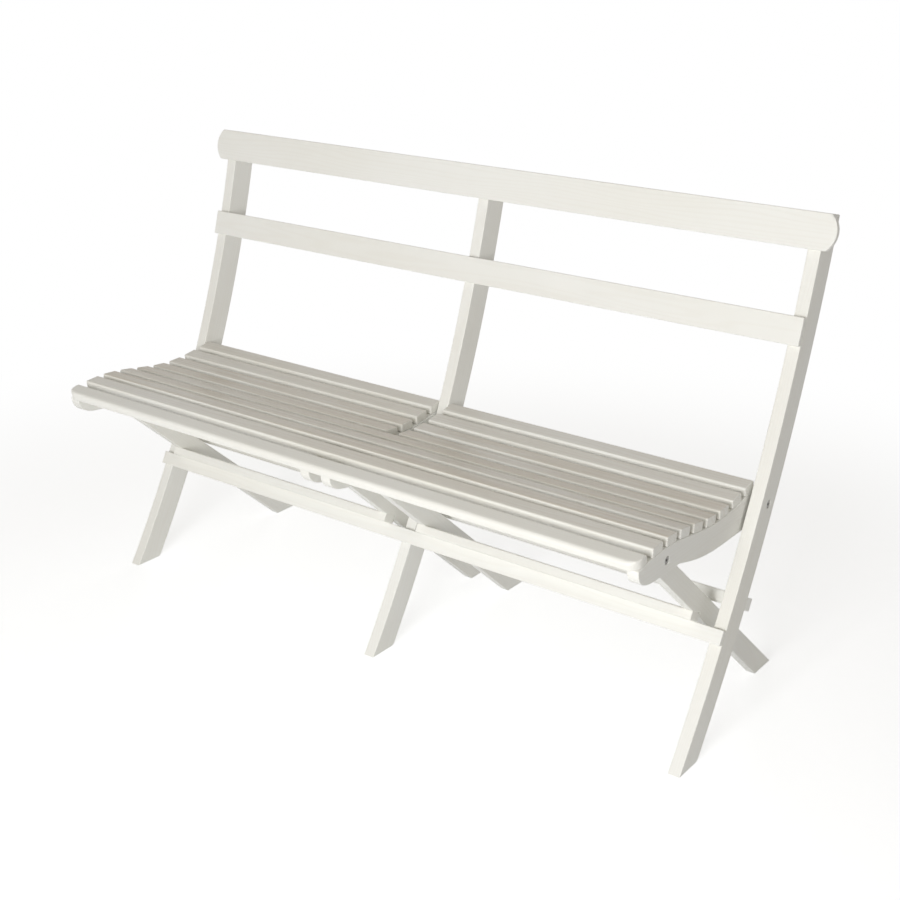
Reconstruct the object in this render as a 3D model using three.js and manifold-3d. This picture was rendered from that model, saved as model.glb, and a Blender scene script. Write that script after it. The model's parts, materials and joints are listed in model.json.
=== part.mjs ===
import * as THREE from "three";
import { mergeVertices } from "three/addons/utils/BufferGeometryUtils.js";
import Module from "manifold-3d";

// A painted wooden bench whose slatted seat folds up against its back.
// Lengths are in mm and angles in degrees: x runs along the bench, y to its back and z up.
// y starts at the front corner of the uprights' feet, until the whole bench is centred at the end.

const wasm = await Module();
wasm.setup();

// Clearances and small edges
const touchGap = 0.3;
const boreClearance = 0.5;
const edgeRadius = 1.6;
const cutOverrun = 2;
const mergeTolerance = 0.05;

// Uprights: three boards sawn to one arc, hollow to the front
const benchLength = 1280;
const uprightThickness = 22;
const uprightDepth = 50;
const uprightRadius = 2500;
const floorLean = 33.5;
const footLength = 54;
const footChamferRise = 6;

// Rails across the front and back faces of the uprights
const topRailMiddle = 809.5;
const topRailHeight = 58;
const topRailOverhang = 10;
const topRailBulge = 14;
const lowerRailHeight = 46;
const backRailSpace = 98.9;
const backRailThickness = 10;
const stretcherMiddle = 198.5;
const stretcherHeight = 25.5;
const stretcherThickness = 10;
const rearRailMiddle = 230.4;
const rearRailHeight = 22;
const rearRailThickness = 20;
const rearRailChamfer = 4;

// Seat: bearers on the seat bolts, with slats that follow a shallow wave
const seatPivotHeight = 390.2;
const seatPivotInset = 27.5;
const bearerThickness = 20;
const endBearerGap = 4;
const middleBearerGap = 2;
const bearerRearDrop = 41.2;
const bearerFrontDrop = 19.2;
const bearerCurveRear = 105;
const bearerCurveFront = 247;
const noseStart = 305;
const noseInset = 6;
const slatWidth = 30;
const slatThickness = 16;
const slatRound = 3;
const slatPitch = 42.2;
const slatCount = 9;
const fullSlatCount = 5;
const rearSlatInset = 36.3;
const frontSlatReach = 379.5;
const frontSlatHeight = 30.6;
const frontSlatTilt = 12;
const frontSlatRound = 7;
const frontSlatCornerRadius = 20;
const waveLength = 332;
const waveHeight = 18;
const dishReach = 122;
const dishHeight = 23;

// Legs: two pairs, each with a rail that comes to rest on the stretcher
const legPivotReach = 285.5;
const legPivotRise = 2.2;
const legWidth = 35;
const legFlare = 0.5;
const legThickness = 18;
const legGap = 3;
const legRailWidth = 30;
const legRailThickness = 16;
const legRailRest = 4.6;
const legRailOffset = 11.6;

// Pivot hardware
const boltRadius = 4;
const boltHeadRadius = 6.2;
const boltHeadHeight = 4.5;
const boltTipLength = 1.2;
const socketRadius = 2.4;
const socketDepth = 2.6;
const counterboreRadius = 7;
const counterboreDepth = 6;
const washerRadius = 9;
const nutRadius = 7.4;
const nutHeight = 6.5;
const nutSides = 6;

// Steps along curves
const longArcSteps = 22;
const curveSteps = 8;
const roundSteps = 16;
const cornerSteps = 3;
const edgeSteps = 2;

const rad = THREE.MathUtils.degToRad;
const point = (y, z) => new THREE.Vector2(y, z);

const paintedWood = new THREE.MeshStandardMaterial({ color: 0xf0efea, roughness: 0.55, metalness: 0 });
const zincSteel = new THREE.MeshStandardMaterial({ color: 0xa4a29d, roughness: 0.38, metalness: 0.9 });

const arc = (y, z, radius, from, to, steps) =>
  new THREE.EllipseCurve(y, z, radius, radius, from, to, to < from).getPoints(steps);

const circle = (y, z, radius) => new THREE.Path(arc(y, z, radius, 0, 2 * Math.PI, roundSteps).slice(0, -1));

// The arc of the uprights: every rail on them lies square to a radius from this centre.
const arcCentre = point(
  -uprightRadius * Math.cos(rad(floorLean)),
  uprightRadius * Math.sin(rad(floorLean)),
);

const leanAt = (height, radius) => Math.asin((arcCentre.y - height) / radius);

const onRadius = (lean, radius) =>
  point(arcCentre.x + radius * Math.cos(lean), arcCentre.y - radius * Math.sin(lean));

// Boards: an outline in (y, z) given thickness along x from 0, with rounded edges
const outlineToBench = new THREE.Matrix4().makeBasis(
  new THREE.Vector3(0, 1, 0),
  new THREE.Vector3(0, 0, 1),
  new THREE.Vector3(1, 0, 0),
);

function roundedExtrusion(outline, thickness) {
  const geometry = new THREE.ExtrudeGeometry(outline, {
    depth: thickness - 2 * edgeRadius,
    bevelSize: edgeRadius,
    bevelThickness: edgeRadius,
    bevelOffset: -edgeRadius,
    bevelSegments: edgeSteps,
  });
  return geometry.translate(0, 0, edgeRadius);
}

const boardGeometry = (outline, thickness) =>
  roundedExtrusion(outline, thickness).applyMatrix4(outlineToBench);

function outlineWithHoles(points, holes) {
  const outline = new THREE.Shape(points);
  outline.holes.push(...holes);
  return outline;
}

// Joining and cutting of closed meshes
function toSolid(geometry) {
  const bare = geometry.clone();
  bare.deleteAttribute("normal");
  bare.deleteAttribute("uv");
  const merged = mergeVertices(bare);
  return new wasm.Manifold(
    new wasm.Mesh({
      numProp: 3,
      vertProperties: merged.attributes.position.array,
      triVerts: new Uint32Array(merged.index.array),
    }),
  );
}

function toGeometry(solid) {
  const { vertProperties, triVerts } = solid.getMesh();
  const geometry = new THREE.BufferGeometry();
  geometry.setAttribute("position", new THREE.BufferAttribute(vertProperties, 3));
  geometry.setIndex(new THREE.BufferAttribute(triVerts, 1));
  geometry.computeVertexNormals();
  return geometry;
}

// A cylinder along x from one x to another, about a point in (y, z)
function rodAlongX(from, to, radius, centre) {
  const rod = new THREE.CylinderGeometry(radius, radius, to - from, roundSteps);
  return rod.rotateZ(Math.PI / 2).translate((from + to) / 2, centre.x, centre.y);
}

const withCounterbore = (geometry, from, to, centre) =>
  toGeometry(toSolid(geometry).subtract(toSolid(rodAlongX(from, to, counterboreRadius, centre))));

function addPiece(group, name, geometry, material, x = 0) {
  const piece = new THREE.Mesh(geometry, material);
  piece.name = name;
  piece.position.x = x;
  group.add(piece);
  return piece;
}

const bench = new THREE.Group();
const seat = new THREE.Group();
const legs = new THREE.Group();

// Uprights
const topLean = leanAt(topRailMiddle, uprightRadius) - topRailHeight / 2 / uprightRadius;
const seatPivotLean = leanAt(seatPivotHeight, uprightRadius + seatPivotInset);
const seatPivot = onRadius(seatPivotLean, uprightRadius + seatPivotInset);
const pivotBore = boltRadius + boreClearance;
const uprightBack = uprightRadius + uprightDepth;
const chamferLean = leanAt(footChamferRise, uprightBack);

const uprightOutline = outlineWithHoles(
  [
    ...arc(arcCentre.x, arcCentre.y, uprightRadius, -rad(floorLean), -topLean, longArcSteps),
    ...arc(arcCentre.x, arcCentre.y, uprightBack, -topLean, -chamferLean, longArcSteps),
    point(footLength, 0),
  ],
  [circle(seatPivot.x, seatPivot.y, pivotBore)],
);
const uprightGeometry = boardGeometry(uprightOutline, uprightThickness);
const uprightLeft = -benchLength / 2;
const uprightRight = benchLength / 2 - uprightThickness;

addPiece(
  bench,
  "upright_left",
  withCounterbore(uprightGeometry, -cutOverrun, counterboreDepth, seatPivot),
  paintedWood,
  uprightLeft,
);
addPiece(bench, "upright_middle", uprightGeometry, paintedWood, -uprightThickness / 2);
addPiece(
  bench,
  "upright_right",
  withCounterbore(
    uprightGeometry,
    uprightThickness - counterboreDepth,
    uprightThickness + cutOverrun,
    seatPivot,
  ),
  paintedWood,
  uprightRight,
);

// Rails: an outline in (x, along the upright), with its thickness towards the front
function addRail(name, outline, thickness, lean, backRadius) {
  const rail = addPiece(bench, name, roundedExtrusion(outline, thickness), paintedWood);
  const place = onRadius(lean, backRadius);
  rail.position.set(0, place.x, place.y);
  rail.rotation.x = Math.PI / 2 - lean;
  return rail;
}

function straightRail(height) {
  const half = benchLength / 2;
  return new THREE.Shape([
    point(-half, -height / 2),
    point(half, -height / 2),
    point(half, height / 2),
    point(-half, height / 2),
  ]);
}

// A rail's back touches the hollow front of the uprights along its two long edges.
const hollowSeat = (height) => Math.sqrt((uprightRadius - touchGap) ** 2 - (height / 2) ** 2);

function topRailOutline() {
  const halfHeight = topRailHeight / 2;
  const cornerX = benchLength / 2 + topRailOverhang;
  const endRadius = (halfHeight ** 2 + topRailBulge ** 2) / 2 / topRailBulge;
  const endAngle = Math.asin(halfHeight / endRadius);
  const endCentre = cornerX + topRailBulge - endRadius;
  const right = arc(endCentre, 0, endRadius, -endAngle, endAngle, curveSteps);
  const left = arc(-endCentre, 0, endRadius, Math.PI - endAngle, Math.PI + endAngle, curveSteps);
  return new THREE.Shape([...right, ...left]);
}

addRail(
  "top_back_rail",
  topRailOutline(),
  backRailThickness,
  leanAt(topRailMiddle, uprightRadius),
  hollowSeat(topRailHeight),
);
const lowerRailMiddle = topRailMiddle - (topRailHeight + lowerRailHeight) / 2 - backRailSpace;
addRail(
  "lower_back_rail",
  straightRail(lowerRailHeight),
  backRailThickness,
  leanAt(lowerRailMiddle, uprightRadius),
  hollowSeat(lowerRailHeight),
);

const stretcherLean = leanAt(stretcherMiddle, uprightRadius);
addRail(
  "front_stretcher",
  straightRail(stretcherHeight),
  stretcherThickness,
  stretcherLean,
  hollowSeat(stretcherHeight),
);

// The rear rail sits on the backs of the uprights, and a chamfer on its lower front edge lets the legs by.
const rearRailLean = leanAt(rearRailMiddle, uprightBack);
const rearRailFront = onRadius(rearRailLean, uprightBack + touchGap);
const rearRailOutline = new THREE.Shape([
  point(rearRailChamfer, -rearRailHeight / 2),
  point(rearRailThickness, -rearRailHeight / 2),
  point(rearRailThickness, rearRailHeight / 2),
  point(0, rearRailHeight / 2),
  point(0, rearRailChamfer - rearRailHeight / 2),
]);
const rearRail = addPiece(
  bench,
  "rear_rail",
  boardGeometry(rearRailOutline, benchLength),
  paintedWood,
  -benchLength / 2,
);
rearRail.position.y = rearRailFront.x;
rearRail.position.z = rearRailFront.y;
rearRail.rotation.x = -rearRailLean;

// Slats: their top front and back corners lie on a shallow wave, and the front one tips forward.
const seatLeft = -benchLength / 2 + uprightThickness + endBearerGap;
const seatInner = uprightThickness / 2 + middleBearerGap;
const waveTop = (y) =>
  dishHeight + (waveHeight / 2) * (1 - Math.cos((2 * Math.PI * (y + dishReach)) / waveLength));

function slatSection(frontRound) {
  const corner = (y, z, radius, from) =>
    arc(y, z, radius, from, from + Math.PI / 2, cornerSteps);
  return new THREE.Shape([
    ...corner(slatRound, slatRound - slatThickness, slatRound, Math.PI),
    ...corner(slatWidth - slatRound, slatRound - slatThickness, slatRound, -Math.PI / 2),
    ...corner(slatWidth - slatRound, -slatRound, slatRound, 0),
    ...corner(frontRound, -frontRound, frontRound, Math.PI / 2),
  ]);
}

const slatPlaces = Array.from({ length: slatCount }, (_, index) => {
  if (index === 0) {
    return { corner: point(-frontSlatReach, frontSlatHeight), tilt: rad(frontSlatTilt) };
  }
  const front = -rearSlatInset - slatPitch * (slatCount - 1 - index);
  const rise = waveTop(front + slatWidth) - waveTop(front);
  return { corner: point(front, waveTop(front)), tilt: Math.atan2(rise, slatWidth) };
});

const fullSlatLength = -2 * seatLeft;
const halfSlatLength = -seatInner - seatLeft;
const fullSlatGeometry = boardGeometry(slatSection(slatRound), fullSlatLength);
const halfSlatGeometry = boardGeometry(slatSection(slatRound), halfSlatLength);

// The front slat is rounded off in plan at its two front corners.
function frontSlat() {
  const section = slatSection(frontSlatRound);
  const bar = boardGeometry(section, fullSlatLength + 2 * cutOverrun).translate(-cutOverrun, 0, 0);
  const radius = frontSlatCornerRadius;
  const plan = new THREE.Shape([
    ...arc(radius, radius, radius, Math.PI, Math.PI * 1.5, curveSteps),
    ...arc(fullSlatLength - radius, radius, radius, Math.PI * 1.5, Math.PI * 2, curveSteps),
    point(fullSlatLength, slatWidth),
    point(0, slatWidth),
  ]);
  const blank = roundedExtrusion(plan, slatThickness).translate(0, 0, -slatThickness);
  return toGeometry(toSolid(bar).intersect(toSolid(blank)).asOriginal().simplify(mergeTolerance));
}

function addSlat(name, geometry, place, x) {
  const slat = addPiece(seat, name, geometry, paintedWood, x);
  slat.position.y = place.corner.x;
  slat.position.z = place.corner.y;
  slat.rotation.x = place.tilt;
}

slatPlaces.forEach((place, index) => {
  const name = `slat_${index + 1}`;
  if (index < fullSlatCount) {
    addSlat(name, index === 0 ? frontSlat() : fullSlatGeometry, place, seatLeft);
  } else {
    addSlat(`${name}_left`, halfSlatGeometry, place, seatLeft);
    addSlat(`${name}_right`, halfSlatGeometry, place, seatInner);
  }
});

// Bearers: flats for the slats on top, a sawn curve below and a round end behind the seat bolt
const slatUnderside = ({ corner, tilt }, across) =>
  point(
    corner.x + across * Math.cos(tilt) + (slatThickness + touchGap) * Math.sin(tilt),
    corner.y + across * Math.sin(tilt) - (slatThickness + touchGap) * Math.cos(tilt),
  );

// The noses start a little behind the front slat's edge, drop and then round into the flat below.
const bearerTop = slatPlaces.flatMap((place, index) => [
  slatUnderside(place, index === 0 ? noseInset : 0),
  slatUnderside(place, slatWidth),
]);
const noseTop = bearerTop[0];
const rearTop = bearerTop[bearerTop.length - 1];
const rearEndRadius = (rearTop.y + bearerRearDrop) / 2;
const noseDropShare = 0.74;
const noseFlatShare = 0.68;
const curveStartShare = 0.085;
const curveEndShare = 0.4;
const noseLength = -noseStart - noseTop.x;
const curveLength = bearerCurveFront - bearerCurveRear;

const noseCurve = new THREE.CubicBezierCurve(
  noseTop,
  point(noseTop.x, noseTop.y - (noseTop.y + bearerFrontDrop) * noseDropShare),
  point(-noseStart - noseLength * noseFlatShare, -bearerFrontDrop),
  point(-noseStart, -bearerFrontDrop),
);
const bellyCurve = new THREE.CubicBezierCurve(
  point(-bearerCurveFront, -bearerFrontDrop),
  point(-bearerCurveFront + curveLength * curveStartShare, -bearerFrontDrop),
  point(-bearerCurveRear - curveLength * (1 - curveEndShare), -bearerRearDrop),
  point(-bearerCurveRear, -bearerRearDrop),
);
const rearEnd = arc(0, rearTop.y - rearEndRadius, rearEndRadius, -Math.PI / 2, Math.PI / 2, curveSteps);
const legPivotInSeat = point(-legPivotReach, legPivotRise);

const bearerOutline = outlineWithHoles(
  [
    ...noseCurve.getPoints(curveSteps),
    ...bellyCurve.getPoints(curveSteps),
    ...rearEnd,
    ...bearerTop.slice(1).reverse(),
  ],
  [
    circle(0, 0, pivotBore),
    circle(legPivotInSeat.x, legPivotInSeat.y, pivotBore),
  ],
);
const bearerGeometry = boardGeometry(bearerOutline, bearerThickness);
const bearerHeadOnLeft = withCounterbore(bearerGeometry, -cutOverrun, counterboreDepth, legPivotInSeat);
const bearerHeadOnRight = withCounterbore(
  bearerGeometry,
  bearerThickness - counterboreDepth,
  bearerThickness + cutOverrun,
  legPivotInSeat,
);
const middleSeatBoltHead = withCounterbore(
  bearerHeadOnRight,
  -cutOverrun,
  counterboreDepth,
  point(0, 0),
);

addPiece(seat, "bearer_left", bearerHeadOnLeft, paintedWood, seatLeft);
addPiece(seat, "bearer_middle_left", middleSeatBoltHead, paintedWood, -seatInner - bearerThickness);
addPiece(seat, "bearer_middle_right", bearerHeadOnLeft, paintedWood, seatInner);
addPiece(seat, "bearer_right", bearerHeadOnRight, paintedWood, -seatLeft - bearerThickness);

// Leg rails: laid square on the top of the stretcher, where they stop the legs
const legPivot = point(seatPivot.x - legPivotReach, seatPivot.y + legPivotRise);
const towardsBack = point(Math.cos(stretcherLean), -Math.sin(stretcherLean));
const alongUpright = point(Math.sin(stretcherLean), Math.cos(stretcherLean));
const stretcherTopFront = onRadius(stretcherLean, hollowSeat(stretcherHeight) - stretcherThickness)
  .addScaledVector(alongUpright, stretcherHeight / 2 + touchGap);
const legRailCorner = stretcherTopFront.clone().addScaledVector(towardsBack, legRailRest - legRailWidth);

// Legs: y runs down along the leg from its bolt, and z across it to its upper side.
// The leg rail's rear top corner stands a set way in front of the leg's middle line, and gives the leg its dip.
const letInCorner = legRailCorner
  .clone()
  .addScaledVector(towardsBack, legRailWidth + touchGap)
  .addScaledVector(alongUpright, legRailThickness + touchGap)
  .sub(legPivot);
const dip = -letInCorner.angle() + 2 * Math.PI - Math.asin(legRailOffset / letInCorner.length());
const flare = rad(legFlare);
const legHalf = legWidth / 2;
const inLeg = (place) => place.clone().sub(legPivot).rotateAround(point(0, 0), dip);
const legRailTurn = dip - stretcherLean;
const legRailStart = inLeg(legRailCorner);

// The front edge flares from the round end to the foot, and the rear edge runs straight down.
const frontHalf = (along) => legHalf / Math.cos(flare) + along * Math.tan(flare);
const frontToFloor =
  (legPivot.y - frontHalf(0) * Math.cos(dip)) / (Math.sin(dip) + Math.tan(flare) * Math.cos(dip));
const rearToFloor = (legPivot.y + legHalf * Math.cos(dip)) / Math.sin(dip);

// A point of the leg rail's section, with the leg's clearance around it
function nearLegRail(across, up) {
  return point(across, up).rotateAround(point(0, 0), legRailTurn).add(legRailStart);
}

function whereFrontEdgeMeets(from, to) {
  const fromEdge = from.y + frontHalf(from.x);
  const toEdge = to.y + frontHalf(to.x);
  return from.clone().lerp(to, fromEdge / (fromEdge - toEdge));
}

const notchBackTop = nearLegRail(legRailWidth + touchGap, legRailThickness + touchGap);
const notchBackBottom = nearLegRail(legRailWidth + touchGap, 0);
const notchFrontTop = nearLegRail(0, legRailThickness + touchGap);
const legTop = arc(0, 0, legHalf, Math.PI / 2, Math.PI * 1.5 - flare, roundSteps / 2);
const legOutline = outlineWithHoles(
  [
    ...legTop,
    whereFrontEdgeMeets(notchFrontTop, notchBackTop),
    notchBackTop,
    whereFrontEdgeMeets(notchBackTop, notchBackBottom),
    point(frontToFloor, -frontHalf(frontToFloor)),
    point(rearToFloor, legHalf),
  ],
  [circle(0, 0, pivotBore)],
);
const legGeometry = boardGeometry(legOutline, legThickness);
const legOuter = seatLeft + bearerThickness + legGap;
const legInner = -seatInner - bearerThickness - legGap;

for (const [name, x] of [
  ["leg_left", legOuter],
  ["leg_middle_left", legInner - legThickness],
  ["leg_middle_right", -legInner],
  ["leg_right", -legOuter - legThickness],
]) {
  const leg = addPiece(legs, name, legGeometry, paintedWood, x);
  leg.rotation.x = -dip;
}

const legRailOutline = new THREE.Shape([
  point(0, 0),
  point(legRailWidth, 0),
  point(legRailWidth, legRailThickness),
  point(0, legRailThickness),
]);
const legRailGeometry = boardGeometry(legRailOutline, legInner - legOuter);
for (const [name, x] of [
  ["leg_rail_left", legOuter],
  ["leg_rail_right", -legInner],
]) {
  const rail = addPiece(legs, name, legRailGeometry, paintedWood, x);
  rail.position.y = legRailCorner.x - legPivot.x;
  rail.position.z = legRailCorner.y - legPivot.y;
  rail.rotation.x = -stretcherLean;
}

// Bolts run along +x from the floor of a counterbore through a stack of boards and washers to a nut.
function boltGeometry(gripLength) {
  const tipX = gripLength + nutHeight + 2 * touchGap + boltTipLength;
  const profile = [
    point(0, tipX),
    point(boltRadius, tipX),
    point(boltRadius, 0),
    point(boltHeadRadius, 0),
    point(boltHeadRadius, -boltHeadHeight),
    point(socketRadius, -boltHeadHeight),
    point(socketRadius, socketDepth - boltHeadHeight),
    point(0, socketDepth - boltHeadHeight),
  ];
  return new THREE.LatheGeometry(profile.reverse(), roundSteps).rotateZ(-Math.PI / 2);
}

function ringGeometry(outer, height) {
  const outline = new THREE.Shape(outer);
  outline.holes.push(circle(0, 0, pivotBore));
  const geometry = new THREE.ExtrudeGeometry(outline, { depth: height, bevelEnabled: false });
  return geometry.applyMatrix4(outlineToBench);
}

const hexagon = arc(0, 0, nutRadius, 0, 2 * Math.PI, nutSides).slice(0, -1);
const washerRim = arc(0, 0, washerRadius, 0, 2 * Math.PI, roundSteps).slice(0, -1);
const nutGeometry = ringGeometry(hexagon, nutHeight);
const washerGeometry = (gap) => ringGeometry(washerRim, gap - 2 * touchGap);

// A bolt with its nut: head floor at x, then the grip up to the nut, along the direction of sense
function addBolt(group, base, side, x, grip, sense) {
  const bolt = addPiece(group, `${base}_bolt_${side}`, boltGeometry(grip), zincSteel, x - sense * touchGap);
  const nut = addPiece(group, `${base}_nut_${side}`, nutGeometry, zincSteel, x + sense * (grip + touchGap));
  if (sense < 0) {
    bolt.rotation.y = Math.PI;
    nut.rotation.y = Math.PI;
  }
}

const addWasher = (group, base, side, left, gap) =>
  addPiece(group, `${base}_washer_${side}`, washerGeometry(gap), zincSteel, left + touchGap);

// Seat bolts, at the seat pivot: the middle one holds both middle bearers to the middle upright.
const seatHardware = new THREE.Group();
const endSeatGrip = uprightThickness - counterboreDepth + endBearerGap + bearerThickness;
const middleSeatGrip = 2 * seatInner + 2 * bearerThickness - counterboreDepth;
addBolt(seatHardware, "seat", "left", -benchLength / 2 + counterboreDepth, endSeatGrip, 1);
addBolt(
  seatHardware,
  "seat",
  "middle",
  -seatInner - bearerThickness + counterboreDepth,
  middleSeatGrip,
  1,
);
addBolt(seatHardware, "seat", "right", benchLength / 2 - counterboreDepth, endSeatGrip, -1);
addWasher(seatHardware, "seat", "left", seatLeft - endBearerGap, endBearerGap);
addWasher(seatHardware, "seat", "middle_left", -seatInner, middleBearerGap);
addWasher(seatHardware, "seat", "middle_right", uprightThickness / 2, middleBearerGap);
addWasher(seatHardware, "seat", "right", -seatLeft, endBearerGap);

// Leg bolts, with their heads let into the bearers
const legHardware = new THREE.Group();
const legGrip = bearerThickness - counterboreDepth + legGap + legThickness;
const legHead = -seatLeft - counterboreDepth;
const middleLegHead = seatInner + counterboreDepth;
addBolt(legHardware, "leg", "left", -legHead, legGrip, 1);
addBolt(legHardware, "leg", "middle_left", -middleLegHead, legGrip, -1);
addBolt(legHardware, "leg", "middle_right", middleLegHead, legGrip, 1);
addBolt(legHardware, "leg", "right", legHead, legGrip, -1);
addWasher(legHardware, "leg", "left", legOuter - legGap, legGap);
addWasher(legHardware, "leg", "middle_left", legInner, legGap);
addWasher(legHardware, "leg", "middle_right", -legInner - legGap, legGap);
addWasher(legHardware, "leg", "right", -legOuter, legGap);

// The seat turns about the seat bolts and the legs about the leg bolts.
seat.position.set(0, seatPivot.x, seatPivot.y);
seatHardware.position.copy(seat.position);
legs.position.set(0, legPivot.x, legPivot.y);
legHardware.position.copy(legs.position);
bench.add(seat, seatHardware, legs, legHardware);

// The bench stands on z = 0, centred between its front edge and the back of its feet.
const frontTilt = rad(frontSlatTilt);
const frontEdge =
  seatPivot.x - frontSlatReach + frontSlatRound * (Math.cos(frontTilt) + Math.sin(frontTilt) - 1);
const legBack = legPivot.x + rearToFloor * Math.cos(dip) + legHalf * Math.sin(dip);
bench.position.y = -(frontEdge + legBack) / 2;

const part = new THREE.Group();
part.add(bench);

export default part;
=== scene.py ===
import json
import math

import bmesh
import bpy
import numpy as np
from mathutils import Euler, Matrix, Vector


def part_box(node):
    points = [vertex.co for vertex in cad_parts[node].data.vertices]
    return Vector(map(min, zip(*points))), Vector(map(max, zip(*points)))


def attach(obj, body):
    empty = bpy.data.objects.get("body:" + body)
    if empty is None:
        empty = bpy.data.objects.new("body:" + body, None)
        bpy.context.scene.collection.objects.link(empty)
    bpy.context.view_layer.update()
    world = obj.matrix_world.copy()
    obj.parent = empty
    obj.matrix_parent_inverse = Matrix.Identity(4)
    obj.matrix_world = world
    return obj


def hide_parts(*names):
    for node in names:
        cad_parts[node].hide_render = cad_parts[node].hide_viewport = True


# A folding garden bench in white gloss paint, dressed over its CAD frame.
# Lengths in the dictionaries are in millimetres and angles in degrees. Meshes are in metres.
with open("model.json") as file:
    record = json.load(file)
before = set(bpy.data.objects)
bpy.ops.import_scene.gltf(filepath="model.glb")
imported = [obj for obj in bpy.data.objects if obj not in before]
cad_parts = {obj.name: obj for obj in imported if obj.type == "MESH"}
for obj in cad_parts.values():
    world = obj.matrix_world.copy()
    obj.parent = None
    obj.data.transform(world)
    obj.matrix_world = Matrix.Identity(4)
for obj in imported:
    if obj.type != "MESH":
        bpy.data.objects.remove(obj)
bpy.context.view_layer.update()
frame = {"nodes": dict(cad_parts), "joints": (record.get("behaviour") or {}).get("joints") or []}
mm = 0.001


def linearColour(hexCode):
    channels = [int(hexCode[i : i + 2], 16) / 255 for i in (1, 3, 5)]
    return [c / 12.92 if c <= 0.04045 else ((c + 0.055) / 1.055) ** 2.4 for c in channels] + [1]


# One node, its settings, and its inputs, which are values or the sockets that feed them
def addNode(tree, kind, inputs=None, **settings):
    node = tree.nodes.new(kind)
    for name, value in settings.items():
        setattr(node, name, value)
    for name, value in (inputs or {}).items():
        if isinstance(value, bpy.types.NodeSocket):
            tree.links.new(value, node.inputs[name])
        else:
            node.inputs[name].default_value = value
    return node


def newMaterial(name):
    material = bpy.data.materials.new(name)
    material.use_nodes = True
    material.node_tree.nodes.clear()
    return material, material.node_tree


camera = dict(
    place=(1488.7, -1900.3, 1309.3),
    yaw=37.19,
    pitch=23.26,
    roll=0.10,
    lens=57.38,
    sensorWidth=36,
    shift=(0.0135, 0.0494),
)


def makeCamera():
    data = bpy.data.cameras.new("bench_camera")
    data.sensor_width = camera["sensorWidth"]
    data.lens = camera["lens"]
    data.shift_x, data.shift_y = camera["shift"]
    eye = bpy.data.objects.new("bench_camera", data)
    aim = Euler((math.radians(90 - camera["pitch"]), 0, math.radians(camera["yaw"]))).to_matrix()
    aim = aim @ Matrix.Rotation(math.radians(camera["roll"]), 3, "Z")
    eye.matrix_world = Matrix.Translation(Vector(camera["place"]) * mm) @ aim.to_4x4()
    bpy.context.scene.collection.objects.link(eye)
    bpy.context.scene.camera = eye


makeCamera()
print("camera placed")

# Brushed oil enamel on sawn and planed pine. The brush leaves fine ridges along each board,
# the growth rings stand up faintly through the paint, and the white yellows in slow patches.
enamel = dict(
    white="#f4f4f0",
    aged="#eceae1",
    thin="#dad1c2",
    # Rubbed paint on the seat, which also stands for painted shade on the slats' upper faces
    wornAndShaded="#dcd3c5",
    grains=dict(  # noise drawn out along the board
        stroke=dict(length=110, width=1.9, detail=3, roughness=0.55),
        wander=dict(length=420, width=38, detail=1, roughness=0.5),
        patch=dict(length=420, width=160, detail=4, roughness=0.5),
        # Coarser than real rubbing, so that the render shows it
        rub=dict(length=320, width=5, detail=3, roughness=0.6),
    ),
    agedAt=(0.35, 0.75),  # the patches' values where yellowing starts and is full
    rubbedAt=(0.8, 1.2),  # the same for rubbing, on patches and rubs added up
    leastRubbed=0.4,
    # Faces looking up take the darker colour: partly rubbing, partly painted shade of the tops
    upperAt=(0.6, 0.95),  # how far up a face looks where rubbing starts and is full
    ringPitch=5.5,
    ringWander=38,
    ringFlatBelow=-0.2,  # of a wave from -1 to 1
    pithOffset=(62, 47),
    ringRelief=0.04,
    strokeRelief=0.05,
    pitSize=2.4,
    pitRelief=0.03,
    edgeReach=3.2,
    edgeAt=(0.62, 0.25),  # how open the inside is where thinning starts and is full
    edgeThinning=0.2,
    edgeSamples=6,
    roughness=0.42,
    roughnessSpread=0.12,
    ior=1.5,
)


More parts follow.
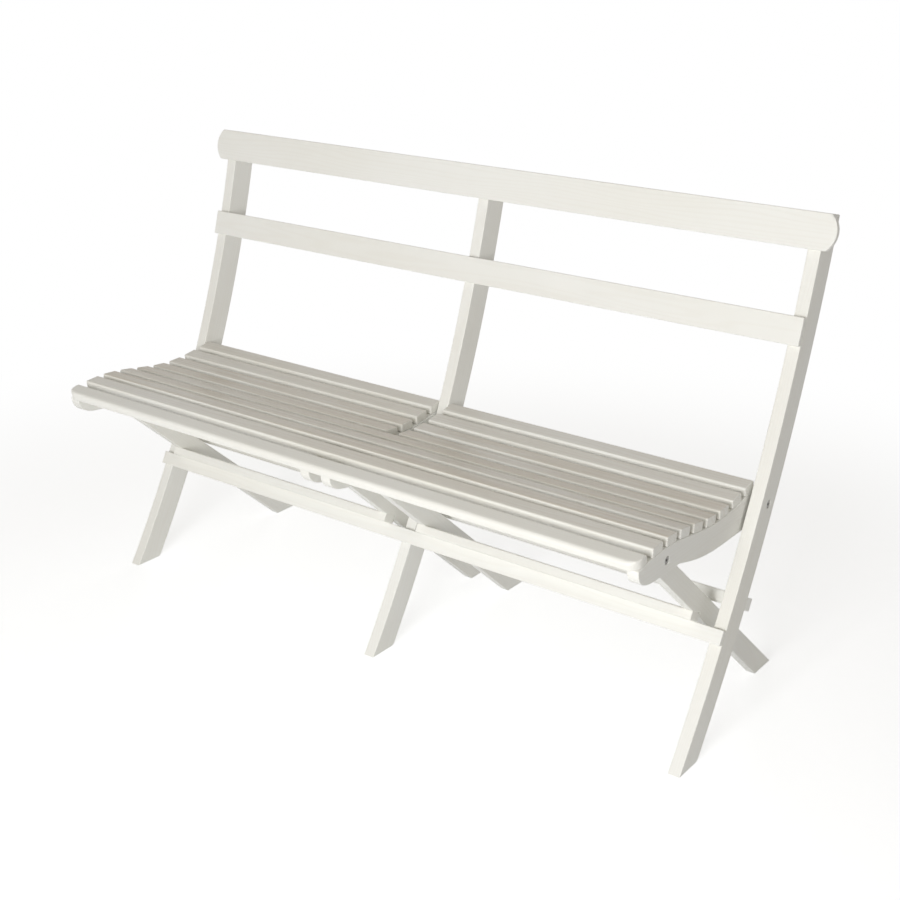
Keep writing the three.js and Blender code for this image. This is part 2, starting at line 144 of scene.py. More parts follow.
def enamelPaint(name, thinning, aging, wearAndShade=0):
    material, tree = newMaterial(name)
    place = addNode(tree, "ShaderNodeAttribute", attribute_name="boardPlace").outputs["Vector"]

    # Noise drawn out along the board: brush strokes, the rings' wandering, slow patches and rubs
    drawn = {}
    for pattern, grain in enamel["grains"].items():
        if pattern == "rub" and not wearAndShade:
            continue
        lengthScale, widthScale = 1 / (grain["length"] * mm), 1 / (grain["width"] * mm)
        stretched = addNode(
            tree,
            "ShaderNodeMapping",
            {"Vector": place, "Scale": (lengthScale, widthScale, widthScale)},
        ).outputs["Vector"]
        drawn[pattern] = addNode(
            tree,
            "ShaderNodeTexNoise",
            {
                "Vector": stretched,
                "Scale": 1,
                "Detail": grain["detail"],
                "Roughness": grain["roughness"],
            },
        ).outputs["Fac"]

    # Growth rings: distance from a pith line beside the board, wandering slowly along it
    pith = Vector((0, *enamel["pithOffset"])) * mm
    fromPith = addNode(
        tree, "ShaderNodeVectorMath", {0: place, 1: pith}, operation="ADD"
    ).outputs["Vector"]
    section = addNode(
        tree, "ShaderNodeVectorMath", {0: fromPith, 1: (0, 1, 1)}, operation="MULTIPLY"
    ).outputs["Vector"]
    radius = addNode(
        tree, "ShaderNodeVectorMath", {0: section}, operation="LENGTH"
    ).outputs["Value"]
    wandered = addNode(
        tree,
        "ShaderNodeMath",
        {0: drawn["wander"], 1: enamel["ringWander"] * mm, 2: radius},
        operation="MULTIPLY_ADD",
    ).outputs["Value"]
    phase = addNode(
        tree,
        "ShaderNodeMath",
        {0: wandered, 1: 2 * math.pi / (enamel["ringPitch"] * mm)},
        operation="MULTIPLY",
    ).outputs["Value"]
    wave = addNode(tree, "ShaderNodeMath", {0: phase}, operation="SINE").outputs["Value"]
    rings = addNode(
        tree,
        "ShaderNodeMapRange",
        {"Value": wave, "From Min": enamel["ringFlatBelow"], "From Max": 1},
        interpolation_type="SMOOTHSTEP",
    ).outputs["Result"]

    # Small pits and nibs of dust that the paint dried over
    pits = addNode(
        tree,
        "ShaderNodeTexNoise",
        {"Vector": place, "Scale": 1 / (enamel["pitSize"] * mm), "Detail": 2},
    ).outputs["Fac"]

    # Colour: slow yellowed patches
    agedFrom, agedFull = enamel["agedAt"]
    agedShare = addNode(
        tree,
        "ShaderNodeMapRange",
        {"Value": drawn["patch"], "From Min": agedFrom, "From Max": agedFull, "To Max": aging},
    ).outputs["Result"]
    base = addNode(
        tree,
        "ShaderNodeMix",
        {
            "Factor": agedShare,
            "A": linearColour(enamel["white"]),
            "B": linearColour(enamel["aged"]),
        },
        data_type="RGBA",
    ).outputs["Result"]

    # Rubbed paint where people sit, in streaks along the grain and only on the upper faces. The
    # darker colour there is also painted shade on the slats' tops, most on the middle slats.
    if wearAndShade:
        streaks = addNode(
            tree, "ShaderNodeMath", {0: drawn["patch"], 1: drawn["rub"]}, operation="ADD"
        ).outputs["Value"]
        rubbedFrom, rubbedFull = enamel["rubbedAt"]
        rubbed = addNode(
            tree,
            "ShaderNodeMapRange",
            {
                "Value": streaks,
                "From Min": rubbedFrom,
                "From Max": rubbedFull,
                "To Min": enamel["leastRubbed"] * wearAndShade,
                "To Max": wearAndShade,
            },
        ).outputs["Result"]
        facing = addNode(tree, "ShaderNodeTexCoord").outputs["Normal"]
        rise = addNode(tree, "ShaderNodeSeparateXYZ", {"Vector": facing}).outputs["Z"]
        upperFrom, upperFull = enamel["upperAt"]
        upper = addNode(
            tree,
            "ShaderNodeMapRange",
            {"Value": rise, "From Min": upperFrom, "From Max": upperFull},
            interpolation_type="SMOOTHSTEP",
        ).outputs["Result"]
        wornAndShadedShare = addNode(
            tree, "ShaderNodeMath", {0: rubbed, 1: upper}, operation="MULTIPLY"
        ).outputs["Value"]
        base = addNode(
            tree,
            "ShaderNodeMix",
            {"Factor": wornAndShadedShare, "A": base, "B": linearColour(enamel["wornAndShaded"])},
            data_type="RGBA",
        ).outputs["Result"]

    # Thinner paint on the ridges of the rings and along the arrises
    ridges = addNode(
        tree, "ShaderNodeMath", {0: rings, 1: drawn["stroke"]}, operation="MULTIPLY"
    ).outputs["Value"]
    ringShare = addNode(
        tree, "ShaderNodeMath", {0: ridges, 1: thinning}, operation="MULTIPLY"
    ).outputs["Value"]
    inside = addNode(
        tree,
        "ShaderNodeAmbientOcclusion",
        {"Distance": enamel["edgeReach"] * mm},
        inside=True,
        samples=enamel["edgeSamples"],
    ).outputs["AO"]
    edgeFrom, edgeFull = enamel["edgeAt"]
    edgeShare = addNode(
        tree,
        "ShaderNodeMapRange",
        {
            "Value": inside,
            "From Min": edgeFrom,
            "From Max": edgeFull,
            "To Max": enamel["edgeThinning"] * thinning,
        },
    ).outputs["Result"]
    thinShare = addNode(
        tree, "ShaderNodeMath", {0: ringShare, 1: edgeShare}, operation="ADD", use_clamp=True
    ).outputs["Value"]
    colour = addNode(
        tree,
        "ShaderNodeMix",
        {"Factor": thinShare, "A": base, "B": linearColour(enamel["thin"])},
        data_type="RGBA",
    ).outputs["Result"]

    # Gloss that varies from stroke to stroke
    spread = enamel["roughnessSpread"] / 2
    roughness = addNode(
        tree,
        "ShaderNodeMapRange",
        {
            "Value": drawn["stroke"],
            "To Min": enamel["roughness"] - spread,
            "To Max": enamel["roughness"] + spread,
        },
    ).outputs["Result"]

    # Relief of the rings, the strokes and the pits, one on top of the other
    normal = None
    for height, relief in (
        (rings, enamel["ringRelief"]),
        (drawn["stroke"], enamel["strokeRelief"]),
        (pits, enamel["pitRelief"]),
    ):
        inputs = {"Height": height, "Distance": relief * mm, "Strength": 1}
        if normal:
            inputs["Normal"] = normal
        normal = addNode(tree, "ShaderNodeBump", inputs).outputs["Normal"]

    surface = addNode(
        tree,
        "ShaderNodeBsdfPrincipled",
        {"Base Color": colour, "Roughness": roughness, "IOR": enamel["ior"], "Normal": normal},
    ).outputs["BSDF"]
    addNode(tree, "ShaderNodeOutputMaterial", {"Surface": surface})
    return material


# Zinc-plated turned steel: a soft grey metal with fine turning marks and dull blooms
zinc = dict(
    bright="#a5a4a0",
    dull="#7c7b77",
    bloomSize=3,
    turningPitch=0.5,
    turningRelief=0.01,
    roughness=0.34,
    roughnessSpread=0.2,
)


def zincPlate():
    material, tree = newMaterial("zinc_plated_steel")
    place = addNode(tree, "ShaderNodeTexCoord").outputs["Object"]
    blooms = addNode(
        tree,
        "ShaderNodeTexNoise",
        {"Vector": place, "Scale": 1 / (zinc["bloomSize"] * mm), "Detail": 3},
    ).outputs["Fac"]
    colour = addNode(
        tree,
        "ShaderNodeMix",
        {"Factor": blooms, "A": linearColour(zinc["bright"]), "B": linearColour(zinc["dull"])},
        data_type="RGBA",
    ).outputs["Result"]
    spread = zinc["roughnessSpread"] / 2
    roughness = addNode(
        tree,
        "ShaderNodeMapRange",
        {
            "Value": blooms,
            "To Min": zinc["roughness"] - spread,
            "To Max": zinc["roughness"] + spread,
        },
    ).outputs["Result"]
    turning = addNode(
        tree, "ShaderNodeTexNoise", {"Vector": place, "Scale": 1 / (zinc["turningPitch"] * mm)}
    ).outputs["Fac"]
    normal = addNode(
        tree, "ShaderNodeBump", {"Height": turning, "Distance": zinc["turningRelief"] * mm}
    ).outputs["Normal"]
    surface = addNode(
        tree,
        "ShaderNodeBsdfPrincipled",
        {"Base Color": colour, "Metallic": 1, "Roughness": roughness, "Normal": normal},
    ).outputs["BSDF"]
    addNode(tree, "ShaderNodeOutputMaterial", {"Surface": surface})
    return material


# The seat paints darken the slats' upper faces: rubbed wear together with painted shade
framePaint = enamelPaint("enamelled_pine_frame", thinning=0.12, aging=0.6)
seatPaint = enamelPaint("enamelled_pine_seat", thinning=0.3, aging=0.9, wearAndShade=0.35)
wornShadedPaint = enamelPaint("enamelled_pine_seat_worn_and_shaded", thinning=0.35, aging=1, wearAndShade=0.9)
zincSteel = zincPlate()
print("materials made")

# The rounded arris of the CAD boards, and how the edges that border it are told from the others
cadEdges = dict(arris=1.6, weldWithin=0.002, levelWithin=0.03, sideLean=0.02, arrisLean=0.1)
joints = {joint["name"]: Vector(joint["pos_m"]) for joint in frame["joints"]}
seatPivot = joints["seat_fold"]
legPivot = joints["leg_fold_left"]


# The sawn outline of a CAD board: the ring of edges where its sides meet its rounded arrises
def sawnOutline(node, axis, across, up):
    mesh = bmesh.new()
    mesh.from_mesh(frame["nodes"][node].data)
    bmesh.ops.remove_doubles(mesh, verts=mesh.verts, dist=cadEdges["weldWithin"] * mm)
    mesh.normal_update()
    heights = [v.co.dot(axis) for v in mesh.verts]
    low, high = min(heights), max(heights)
    level = low + cadEdges["arris"] * mm
    ring = {}
    for edge in mesh.edges:
        fromLevel = max(abs(v.co.dot(axis) - level) for v in edge.verts)
        if fromLevel > cadEdges["levelWithin"] * mm or len(edge.link_faces) != 2:
            continue
        sideLean, arrisLean = sorted(abs(face.normal.dot(axis)) for face in edge.link_faces)
        if sideLean < cadEdges["sideLean"] and arrisLean > cadEdges["arrisLean"]:
            for start, end in (edge.verts, reversed(edge.verts)):
                ring.setdefault(start.index, []).append(end.index)
    mesh.verts.ensure_lookup_table()
    loops, seen = [], set()
    for start in ring:
        if start in seen:
            continue
        loop, here, before = [], start, None
        while here not in seen:
            seen.add(here)
            loop.append(here)
            onward = [index for index in ring[here] if index != before and index not in seen]
            before, here = here, onward[0] if onward else start
        corners = [mesh.verts[index].co for index in loop]
        loops.append([Vector((corner.dot(across), corner.dot(up))) for corner in corners])
    mesh.free()

    def perimeter(loop):
        return sum((a - b).length for a, b in zip(loop, loop[1:] + loop[:1]))

    outline = max(loops, key=perimeter)
    area = sum(a.x * b.y - b.x * a.y for a, b in zip(outline, outline[1:] + outline[:1]))
    return (outline if area > 0 else outline[::-1]), low, high


def turned(vector, angle):
    cosine, sine = math.cos(angle), math.sin(angle)
    return Vector((vector.x * cosine - vector.y * sine, vector.x * sine + vector.y * cosine))


def angleBetween(a, b):
    return math.atan2(a.x * b.y - a.y * b.x, a.dot(b))


outlines = dict(
    straightTurn=0.05,  # less of a turn is no corner at all
    cornerTurn=36,  # more of a turn is a corner, and less belongs to a curve
    acuteTurn=100,  # more is the acute point of a foot
    straightRatio=2.5,  # an edge this much longer than the next is straight
    curveStep=6,
    leastBend=2,
    arcFlatness=48,  # the higher, the flatter a curve between two points
    cornerRound=2,
    cornerSteps=4,
    cornerReach=0.45,  # the share of an edge that a rounded corner may take
)


# Points on a straight run within an outline go, and coarse arcs get finer steps.
def fairedOutline(outline, staysStraight):
    count = len(outline)
    points = []
    for i, point in enumerate(outline):
        turn = angleBetween(point - outline[i - 1], outline[(i + 1) % count] - point)
        if abs(turn) > math.radians(outlines["straightTurn"]):
            points.append(point)
    count = len(points)
    onward = points[1:] + points[:1]
    edges = [end - start for start, end in zip(points, onward)]
    flat = [
        staysStraight((start + end) / 2, edge.normalized())
        for start, end, edge in zip(points, onward, edges)
    ]

    # The outline's direction at each point, which a corner doesn't have
    tangents = []
    for i in range(count):
        before, after = edges[i - 1], edges[i]
        turn = abs(angleBetween(before, after))
        ratio = before.length / after.length
        alongBefore, alongAfter = before.normalized(), after.normalized()
        if turn > math.radians(outlines["cornerTurn"]) or (flat[i - 1] and flat[i]):
            tangents.append(None)
        elif flat[i - 1] or (not flat[i] and ratio > outlines["straightRatio"]):
            tangents.append(alongBefore)
        elif flat[i] or ratio < 1 / outlines["straightRatio"]:
            tangents.append(alongAfter)
        else:
            middle = alongBefore * after.length + alongAfter * before.length
            tangents.append(middle.normalized())

    # Edges with a direction at an end become cubic curves
    faired = []
    for i in range(count):
        start, end, edge = points[i], onward[i], edges[i]
        faired.append(start)
        leaving, arriving = tangents[i], tangents[(i + 1) % count]
        if flat[i] or (leaving is None and arriving is None):
            continue
        chord = edge.normalized()
        if leaving is None:
            leaving = turned(chord, -angleBetween(chord, arriving))
        if arriving is None:
            arriving = turned(chord, angleBetween(leaving, chord))
        bend = abs(angleBetween(leaving, chord)) + abs(angleBetween(chord, arriving))
        steps = math.ceil(math.degrees(bend) / outlines["curveStep"])
        if steps < 2 or bend < math.radians(outlines["leastBend"]):
            continue
        pull = edge.length * (1 + bend * bend / outlines["arcFlatness"])
        for step in range(1, steps):
            t = step / steps
            faired.append(
                start * (2 * t**3 - 3 * t**2 + 1)
                + leaving * pull * (t**3 - 2 * t**2 + t)
                + end * (3 * t**2 - 2 * t**3)
                + arriving * pull * (t**3 - t**2)
            )
    return faired


# Square corners are eased, as sandpaper leaves them, and the acute points of the feet are kept.
def easedOutline(outline):
    count = len(outline)
    square, acute = math.radians(outlines["cornerTurn"]), math.radians(outlines["acuteTurn"])
    eased = []
    for i, point in enumerate(outline):
        before, after = point - outline[i - 1], outline[(i + 1) % count] - point
        turn = angleBetween(before, after)
        if not square < turn < acute:
            eased.append(point)
            continue
        slope = math.tan(turn / 2)
        room = outlines["cornerReach"] * min(before.length, after.length)
        taken = min(outlines["cornerRound"] * mm * slope, room)
        along = before.normalized()
        inward = Vector((-along.y, along.x)) * (taken / slope)
        centre = point - along * taken + inward
        steps = math.ceil(math.degrees(turn) / 90 * outlines["cornerSteps"])
        eased += [centre + turned(-inward, turn * step / steps) for step in range(steps + 1)]
    return eased


def insetOutline(outline, inset):
    count = len(outline)
    moved = []
    for i, point in enumerate(outline):
        before = (point - outline[i - 1]).normalized()
        after = (outline[(i + 1) % count] - point).normalized()
        inward = Vector((-before.y - after.y, before.x + after.x))
        moved.append(point + inward * (inset / (1 + before.dot(after))))
    return moved


bores = dict(
    radius=4.5,
    counterbore=7,
    counterboreDepth=6,
    rimRound=0.5,
    rimSag=0.3,  # the share of the rim's round at its middle step
    steps=40,
)


# The rings of a bore from its low face to its high one, counterbored where the bolt's head sits
def boreRings(low, high, headSide):
    wide, narrow = bores["counterbore"] * mm, bores["radius"] * mm
    rim, depth = bores["rimRound"] * mm, bores["counterboreDepth"] * mm
    sag = rim * bores["rimSag"]

    def mouth(face, inward, hasHead):
        radius = wide if hasHead else narrow
        rings = [
            (radius + rim, face),
            (radius + sag, face + sag * inward),
            (radius, face + rim * inward),
        ]
        if hasHead:
            rings += [(wide, face + depth * inward), (narrow, face + depth * inward)]
        return rings

    return mouth(low, 1, headSide < 0) + mouth(high, -1, headSide > 0)[::-1]


# Faces between two rings of as many points
def bridge(mesh, lower, upper):
    for i in range(len(lower)):
        j = (i + 1) % len(lower)
        mesh.faces.new((lower[i], lower[j], upper[j], upper[i]))


# A flat face that fills the first of some loops and leaves the others open
def cap(mesh, loops, facing):
    borders = [
        mesh.edges.get((loop[i], loop[(i + 1) % len(loop)]))
        for loop in loops
        for i in range(len(loop))
    ]
    bmesh.ops.triangle_fill(mesh, use_beauty=True, use_dissolve=False, edges=borders, normal=facing)


boardEdges = dict(steps=4, sharpAngle=40, faceWeight=100)


# The steps round a board's two arrises, from its low face to its high one. Each says whether it
# is on the high arris, and how far round it is.
def arrisSteps(steps):
    angles = [math.pi / 2 * step / steps for step in range(steps + 1)]
    return [(False, angle) for angle in angles] + [(True, angle) for angle in reversed(angles)]


# A board cut from the CAD node's outline, with finer arrises, round bores and smooth shading
def makeBoard(node, body, material, extrusion, holes=(), staysStraight=lambda middle, along: False):
    axis, across, up = extrusion
    outline, low, high = sawnOutline(node, axis, across, up)
    outline = easedOutline(fairedOutline(outline, staysStraight))
    mesh = bmesh.new()

    def place(point, height):
        return mesh.verts.new(across * point.x + up * point.y + axis * height)

    arris = cadEdges["arris"] * mm
    rings = []
    for isHigh, angle in arrisSteps(boardEdges["steps"]):
        inset = arris * (1 - math.sin(angle))
        depth = arris * (1 - math.cos(angle))
        height = high - depth if isHigh else low + depth
        rings.append([place(point, height) for point in insetOutline(outline, inset)])
    for lower, upper in zip(rings, rings[1:]):
        bridge(mesh, lower, upper)

    lowCap, highCap = [rings[0]], [rings[-1]]
    turns = [2 * math.pi * step / bores["steps"] for step in range(bores["steps"])]
    circle = [Vector((math.cos(turn), math.sin(turn))) for turn in turns]
    for centre, headSide in holes:
        middle = Vector((centre.dot(across), centre.dot(up)))
        bored = [
            [place(middle + spoke * radius, height) for spoke in circle]
            for radius, height in boreRings(low, high, headSide)
        ]
        for lower, upper in zip(bored, bored[1:]):
            bridge(mesh, upper, lower)
        lowCap.append(bored[0])
        highCap.append(bored[-1])

    cap(mesh, lowCap, -axis)
    cap(mesh, highCap, axis)
    bmesh.ops.recalc_face_normals(mesh, faces=mesh.faces)
    finishBoard(mesh, node, body, material)


timber = dict(nextBoard=(3100, 11, 7))  # from one board's place in the timber to the next one's
boardCount = 0


# The board's own directions give its grain, and every board starts at another place in the timber.
def finishBoard(mesh, node, body, material):
    global boardCount
    boardCount += 1
    data = bpy.data.meshes.new(f"{node}_board")
    mesh.to_mesh(data)
    mesh.free()
    points = np.array([v.co for v in data.vertices])
    spread = points - points.mean(0)
    directions = np.linalg.svd(spread.T @ spread)[0]
    along, side = directions[:, 0], directions[:, 1]
    local = np.stack([spread @ along, spread @ side, spread @ np.cross(along, side)], axis=1)
    local += np.array(timber["nextBoard"]) * mm * boardCount * (1, (-1) ** boardCount, 1)
    attribute = data.attributes.new("boardPlace", "FLOAT_VECTOR", "POINT")
    attribute.data.foreach_set("vector", local.astype(np.float32).ravel())
    data.materials.append(material)
    data.shade_smooth()
    data.set_sharp_from_angle(angle=math.radians(boardEdges["sharpAngle"]))
    board = bpy.data.objects.new(f"{node}_board", data)
    bpy.context.scene.collection.objects.link(board)
    weighting = board.modifiers.new("flat_faces", "WEIGHTED_NORMAL")
    weighting.weight = boardEdges["faceWeight"]
    weighting.keep_sharp = True
    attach(board, body)
    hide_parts(node)


sideways = (Vector((1, 0, 0)), Vector((0, 1, 0)), Vector((0, 0, 1)))


# The outline of a rail lies in the plane of its wide face, which leans back. So does the outline
# of the front slat.
def leaning(node, facing):
    faces = frame["nodes"][node].data.polygons
    widest = max(faces, key=lambda face: face.area * abs(face.normal.dot(facing)))
    normal = widest.normal.copy()
    if normal.dot(facing) < 0:
        normal = -normal
    along = Vector((1, 0, 0))
    return normal, along, normal.cross(along)


for node, headSide in (("upright_left", -1), ("upright_middle", 0), ("upright_right", 1)):
    makeBoard(node, "frame", framePaint, sideways, [(seatPivot, headSide)])
for node in ("top_back_rail", "lower_back_rail", "front_stretcher"):
    makeBoard(node, "frame", framePaint, leaning(node, Vector((0, -1, 0))))
makeBoard("rear_rail", "frame", framePaint, sideways, staysStraight=lambda middle, along: True)
print("frame boards made")

bearerTop = dict(
    beforePivot=2,
    leastRun=0.8,  # how level a flat runs, as a cosine
)


# The flats on a bearer's top, where the slats lie, aren't faired.
def onBearerTop(middle, along):
    inFront = middle.x < seatPivot.y - bearerTop["beforePivot"] * mm
    return inFront and along.x < -bearerTop["leastRun"]


for node, seatHead, legHead in (
    ("bearer_left", 0, -1),
    ("bearer_middle_left", -1, 1),
    ("bearer_middle_right", 0, -1),
    ("bearer_right", 0, 1),
):
    holes = [(seatPivot, seatHead), (legPivot, legHead)]
    makeBoard(node, "seat", framePaint, sideways, holes, onBearerTop)

# Slats 3 to 7 in the dip of the seat take the darker worn paint: rubbed wear and painted shade of
# their tops
slats = dict(
    paints=[seatPaint] + [wornShadedPaint] * 5 + [seatPaint] * 2,  # from the second slat back
    firstSplit=6,  # this slat and those behind it end at the middle upright
)
for number, paint in enumerate(slats["paints"], start=2):
    for end in ("",) if number < slats["firstSplit"] else ("_left", "_right"):
        makeBoard(f"slat_{number}{end}", "seat", paint, sideways)

frontSlat = dict(
    planRadius=20,
    planSteps=16,
    noseRound=7,
    lowRound=3,
    endRound=1.6,
    steps=6,
    squareBelow=0.5,  # the cosine of a turn that is a square corner's
)


# The front slat has its front corners rounded in plan, and its rounded nose fades out along them.
def makeFrontSlat(node):
    axis, along, across = leaning(node, Vector((0, 0, 1)))
    corners = [v.co for v in frame["nodes"][node].data.vertices]
    (left, right), (front, back), (low, high) = (
        (min(c.dot(d) for c in corners), max(c.dot(d) for c in corners))
        for d in (along, across, axis)
    )
    sizes = ("planRadius", "noseRound", "lowRound", "endRound")
    turn, noseRound, lowRound, endRound = (frontSlat[name] * mm for name in sizes)
    outline, topRounds, lowRounds = [], [], []

    def fade(whole, inward):
        share = max(0, 1 - inward / noseRound)
        return endRound + (whole - endRound) * share**0.5

    for centre, start in ((left + turn, math.pi), (right - turn, 1.5 * math.pi)):
        for step in range(frontSlat["planSteps"] + 1):
            angle = start + math.pi / 2 * step / frontSlat["planSteps"]
            x = centre + turn * math.cos(angle)
            outline.append(Vector((x, front + turn + turn * math.sin(angle))))
            inward = turn * (1 + math.sin(angle))
            topRounds.append(fade(noseRound, inward))
            lowRounds.append(fade(lowRound, inward))
    outline += [Vector((right, back)), Vector((left, back))]
    topRounds += [lowRound] * 2
    lowRounds += [lowRound] * 2
    count = len(outline)

    # Behind the rounded front, the ends and the back have rounds of their own, with a mitre.
    def inset(i, rounds, share):
        before = (outline[i] - outline[i - 1]).normalized()
        after = (outline[(i + 1) % count] - outline[i]).normalized()
        inward = [Vector((-d.y, d.x)) for d in (before, after)]
        if before.dot(after) > frontSlat["squareBelow"]:
            depth = rounds[i] * share / (1 + before.dot(after))
            return outline[i] + (inward[0] + inward[1]) * depth
        isRight = i == count - 2
        depths = [endRound, rounds[i]] if isRight else [rounds[i], endRound]
        return outline[i] + inward[0] * depths[0] * share + inward[1] * depths[1] * share

    mesh = bmesh.new()
    rings = []
    for isHigh, angle in arrisSteps(frontSlat["steps"]):
        rounds = topRounds if isHigh else lowRounds
        ring = []
        for i in range(count):
            flat = inset(i, rounds, 1 - math.sin(angle))
            depth = rounds[i] * (1 - math.cos(angle))
            height = high - depth if isHigh else low + depth
            ring.append(mesh.verts.new(along * flat.x + across * flat.y + axis * height))
        rings.append(ring)
    for lower, upper in zip(rings, rings[1:]):
        bridge(mesh, lower, upper)
    cap(mesh, [rings[0]], -axis)
    cap(mesh, [rings[-1]], axis)
    bmesh.ops.recalc_face_normals(mesh, faces=mesh.faces)
    finishBoard(mesh, node, "seat", framePaint)


makeFrontSlat("slat_1")
print("seat boards made")

for side, nodes in (
    ("left", ("leg_left", "leg_middle_left")),
    ("right", ("leg_middle_right", "leg_right")),
):
    for node in nodes:
        makeBoard(node, f"legs_{side}", framePaint, sideways, [(legPivot, 0)])
    makeBoard(f"leg_rail_{side}", f"legs_{side}", framePaint, sideways)
print("leg boards made")

# Socket-head bolts, plain washers and chamfered hexagon nuts, turned about x
hardware = dict(
    headRadius=6.2,
    headHeight=4.5,
    headRound=0.9,
    headSteps=4,
    headShare=0.9,  # of the widest radius, beyond which a point is on the head
    shank=4,
    socketAcross=4.4,
    socketDepth=2.6,
    socketMouth=0.25,
    edgeEase=0.2,
    threadPitch=1.25,
    threadDepth=0.5,
    threadLength=14,
    crestEase=0.05,
    tipChamfer=0.8,
    nutAcross=12.8,
    nutChamfer=0.9,
    nutEdge=((0, -0.2), (0.12, 0), (0.45, 0.5)),  # depths, and radii beyond half the flats
    nutBore=4.1,
    nutMouth=0.5,
    washerEase=0.35,
    hexagonSlack=0.01,  # keeps a hexagon's points whole
    steps=48,
    sharpAngle=35,
)


# A mesh turned about x from rings: x, radius, and for a hexagon its width across the flats.
# The ends are joined to each other, unless the first ring is a point.
def turnedMesh(rings, centre):
    mesh = bmesh.new()
    steps = hardware["steps"]
    loops = []
    for x, radius, *across in rings:
        if radius == 0:
            loops.append([mesh.verts.new((x * mm, centre.y, centre.z))])
            continue
        loop = []
        for step in range(steps):
            turn = 2 * math.pi * step / steps
            spoke = radius
            if across:
                flat = across[0] / 2 / math.cos(turn % (math.pi / 3) - math.pi / 6)
                spoke = min(radius, flat)
            y = centre.y + spoke * mm * math.cos(turn)
            z = centre.z + spoke * mm * math.sin(turn)
            loop.append(mesh.verts.new((x * mm, y, z)))
        loops.append(loop)
    following = loops[1:] if len(loops[0]) == 1 else loops[1:] + loops[:1]
    for lower, upper in zip(loops, following):
        for i in range(steps):
            corners = [lower[i % len(lower)], lower[(i + 1) % len(lower)]]
            corners += [upper[(i + 1) % len(upper)], upper[i % len(upper)]]
            mesh.faces.new(list(dict.fromkeys(corners)))
    bmesh.ops.recalc_face_normals(mesh, faces=mesh.faces)
    return mesh


def finishMetal(mesh, node, body):
    data = bpy.data.meshes.new(f"{node}_turned")
    mesh.to_mesh(data)
    mesh.free()
    data.materials.append(zincSteel)
    data.shade_smooth()
    data.set_sharp_from_angle(angle=math.radians(hardware["sharpAngle"]))
    piece = bpy.data.objects.new(f"{node}_turned", data)
    bpy.context.scene.collection.objects.link(piece)
    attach(piece, body)
    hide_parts(node)


# The ends of a CAD node along x and its widest radius in millimetres, with its centre in metres
def turnedSize(node):
    low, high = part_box(node)
    return low.x / mm, high.x / mm, (low + high) / 2, (high.z - low.z) / 2 / mm


def makeWasher(node, body):
    low, high, centre, outer = turnedSize(node)
    ease = min(hardware["washerEase"], (high - low) / 4)
    bore = bores["radius"]
    rings = [(low, bore), (low, outer - ease), (low + ease, outer)]
    rings += [(high - ease, outer), (high, outer - ease), (high, bore)]
    finishMetal(turnedMesh(rings, centre), node, body)


def makeNut(node, body):
    low, high, centre, outer = turnedSize(node)
    across, bore, mouth = (hardware[name] for name in ("nutAcross", "nutBore", "nutMouth"))
    edge = [(depth, across / 2 + beyond) for depth, beyond in hardware["nutEdge"]]
    edge.append((hardware["nutChamfer"], outer + hardware["hexagonSlack"]))
    rings = [(low + mouth, bore), (low, bore + mouth)]
    rings += [(low + depth, radius, across) for depth, radius in edge]
    rings += [(high - depth, radius, across) for depth, radius in reversed(edge)]
    rings += [(high, bore + mouth), (high - mouth, bore)]
    finishMetal(turnedMesh(rings, centre), node, body)


# A bolt's rings are listed from the top of its head.
def makeBolt(node, body):
    low, high, centre, outer = turnedSize(node)
    length = high - low
    corners = [v.co for v in frame["nodes"][node].data.vertices]
    headRadius = hardware["headShare"] * outer * mm
    headEnds = [v.x / mm for v in corners if (v - centre).yz.length > headRadius]
    headLow = sum(headEnds) / len(headEnds) < (low + high) / 2

    socket, depth, ease = (hardware[name] for name in ("socketAcross", "socketDepth", "edgeEase"))
    wall = socket / math.sqrt(3) + hardware["hexagonSlack"]
    rings = [(depth, 0), (depth, wall, socket), (ease, wall, socket)]
    rings.append((0, wall + hardware["socketMouth"]))

    head, height, headRound, shank = (
        hardware[name] for name in ("headRadius", "headHeight", "headRound", "shank")
    )
    for step in range(hardware["headSteps"] + 1):
        angle = math.pi / 2 * step / hardware["headSteps"]
        radius = head - headRound * (1 - math.sin(angle))
        rings.append((headRound * (1 - math.cos(angle)), radius))
    rings += [(height - ease, head), (height, head - ease), (height, shank)]

    pitch, root = hardware["threadPitch"], shank - hardware["threadDepth"]
    tip = length - hardware["tipChamfer"]
    turns = int(hardware["threadLength"] / pitch)
    for turn in range(turns):
        crest = tip - (turns - turn) * pitch
        rings += [(crest, shank), (crest + pitch / 2, root)]
    rings += [(tip, shank - hardware["crestEase"]), (length, root), (length, 0)]
    rings = [(low + x if headLow else high - x, *sizes) for x, *sizes in rings]
    finishMetal(turnedMesh(rings, centre), node, body)


for side in ("left", "middle_left", "middle_right", "right"):
    makeWasher(f"seat_washer_{side}", "frame")
    makeWasher(f"leg_washer_{side}", "seat")
    makeBolt(f"leg_bolt_{side}", "seat")
    makeNut(f"leg_nut_{side}", "seat")
for side in ("left", "middle", "right"):
    makeBolt(f"seat_bolt_{side}", "frame")
    makeNut(f"seat_nut_{side}", "frame")
print("hardware made")

studio = dict(
    floorSize=60000,
    floorColour="#e9ebee",
    floorLift=0.54,
    whiteFrom=900,
    whiteBy=1900,
    white="#ffffff",
    skyColour="#faf5ec",
    skyLow=0.56,
    skyHigh=0.26,
    lampAim=(0, 0, 450),
    lampColour="#ffffff",
    lamps=(
        dict(name="front_panel", place=(900, -2900, 1050), size=1100, power=54, inGloss=True),
        dict(name="back_panel", place=(-1400, 2700, 800), size=1600, power=15, inGloss=False),
    ),
)


# The rays that show the white studio: those of the camera, and those that polished and clear
# surfaces send on
def whiteRays(tree):
    path = addNode(tree, "ShaderNodeLightPath")
    shown = path.outputs["Is Camera Ray"]
    for kind in ("Is Glossy Ray", "Is Transmission Ray"):
        shown = addNode(
            tree, "ShaderNodeMath", {0: shown, 1: path.outputs[kind]}, operation="MAXIMUM"
        ).outputs["Value"]
    return shown


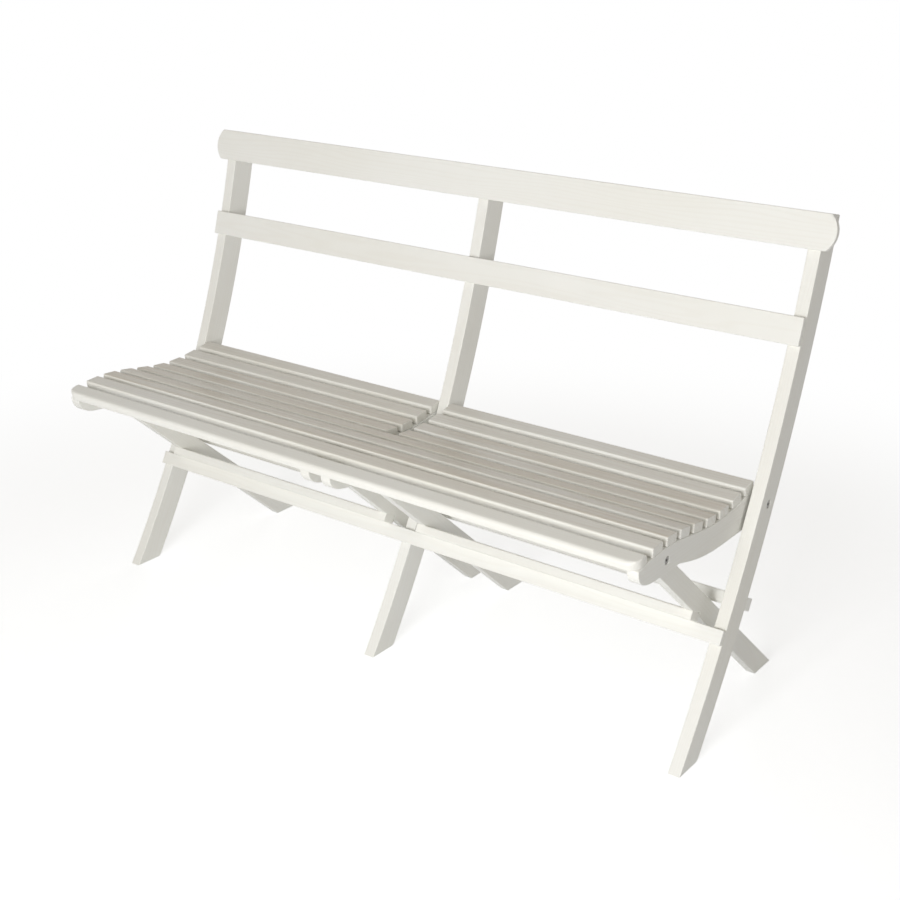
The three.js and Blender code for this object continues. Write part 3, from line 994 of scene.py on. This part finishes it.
def makeSky():
    world = bpy.data.worlds.new("studio")
    world.use_nodes = True
    tree = world.node_tree
    tree.nodes.clear()
    direction = addNode(tree, "ShaderNodeTexCoord").outputs["Generated"]
    rise = addNode(tree, "ShaderNodeSeparateXYZ", {"Vector": direction}).outputs["Z"]
    strength = addNode(
        tree,
        "ShaderNodeMapRange",
        {"Value": rise, "To Min": studio["skyLow"], "To Max": studio["skyHigh"]},
    ).outputs["Result"]
    light = addNode(
        tree,
        "ShaderNodeBackground",
        {"Color": linearColour(studio["skyColour"]), "Strength": strength},
    ).outputs["Background"]
    white = addNode(
        tree, "ShaderNodeBackground", {"Color": linearColour(studio["white"]), "Strength": 1}
    ).outputs["Background"]
    mix = addNode(tree, "ShaderNodeMixShader", {0: whiteRays(tree), 1: light, 2: white})
    addNode(tree, "ShaderNodeOutputWorld", {"Surface": mix.outputs["Shader"]})
    bpy.context.scene.world = world


# A matt floor that takes the bench's shadow, and looks white far from it
def makeFloor():
    floorPaint, tree = newMaterial("studio_floor")
    seen = whiteRays(tree)
    matt = addNode(
        tree, "ShaderNodeBsdfDiffuse", {"Color": linearColour(studio["floorColour"])}
    ).outputs["BSDF"]
    lift = addNode(
        tree, "ShaderNodeMath", {0: seen, 1: studio["floorLift"]}, operation="MULTIPLY"
    ).outputs["Value"]
    glow = addNode(
        tree, "ShaderNodeEmission", {"Color": linearColour(studio["white"]), "Strength": lift}
    ).outputs["Emission"]
    near = addNode(tree, "ShaderNodeAddShader", {0: matt, 1: glow}).outputs["Shader"]
    place = addNode(tree, "ShaderNodeTexCoord").outputs["Object"]
    distance = addNode(
        tree, "ShaderNodeVectorMath", {0: place}, operation="LENGTH"
    ).outputs["Value"]
    farShare = addNode(
        tree,
        "ShaderNodeMapRange",
        {
            "Value": distance,
            "From Min": studio["whiteFrom"] * mm,
            "From Max": studio["whiteBy"] * mm,
        },
        interpolation_type="SMOOTHSTEP",
    ).outputs["Result"]
    seenFar = addNode(
        tree, "ShaderNodeMath", {0: farShare, 1: seen}, operation="MULTIPLY"
    ).outputs["Value"]
    white = addNode(
        tree, "ShaderNodeEmission", {"Color": linearColour(studio["white"]), "Strength": 1}
    ).outputs["Emission"]
    whole = addNode(tree, "ShaderNodeMixShader", {0: seenFar, 1: near, 2: white})
    addNode(tree, "ShaderNodeOutputMaterial", {"Surface": whole.outputs["Shader"]})

    half = studio["floorSize"] / 2 * mm
    corners = [(-half, -half, 0), (half, -half, 0), (half, half, 0), (-half, half, 0)]
    data = bpy.data.meshes.new("studio_floor")
    data.from_pydata(corners, [], [(0, 1, 2, 3)])
    data.materials.append(floorPaint)
    floor = bpy.data.objects.new("studio_floor", data)
    bpy.context.scene.collection.objects.link(floor)


def makeLamps():
    for settings in studio["lamps"]:
        lamp = bpy.data.lights.new(settings["name"], "AREA")
        lamp.shape = "SQUARE"
        lamp.size = settings["size"] * mm
        lamp.energy = settings["power"]
        lamp.color = linearColour(studio["lampColour"])[:3]
        panel = bpy.data.objects.new(settings["name"], lamp)
        panel.visible_glossy = settings["inGloss"]
        panel.location = Vector(settings["place"]) * mm
        view = Vector(studio["lampAim"]) * mm - panel.location
        panel.rotation_euler = view.to_track_quat("-Z", "Y").to_euler()
        bpy.context.scene.collection.objects.link(panel)


makeSky()
makeFloor()
makeLamps()
bpy.context.scene.view_settings.view_transform = "Standard"
print("studio lit")
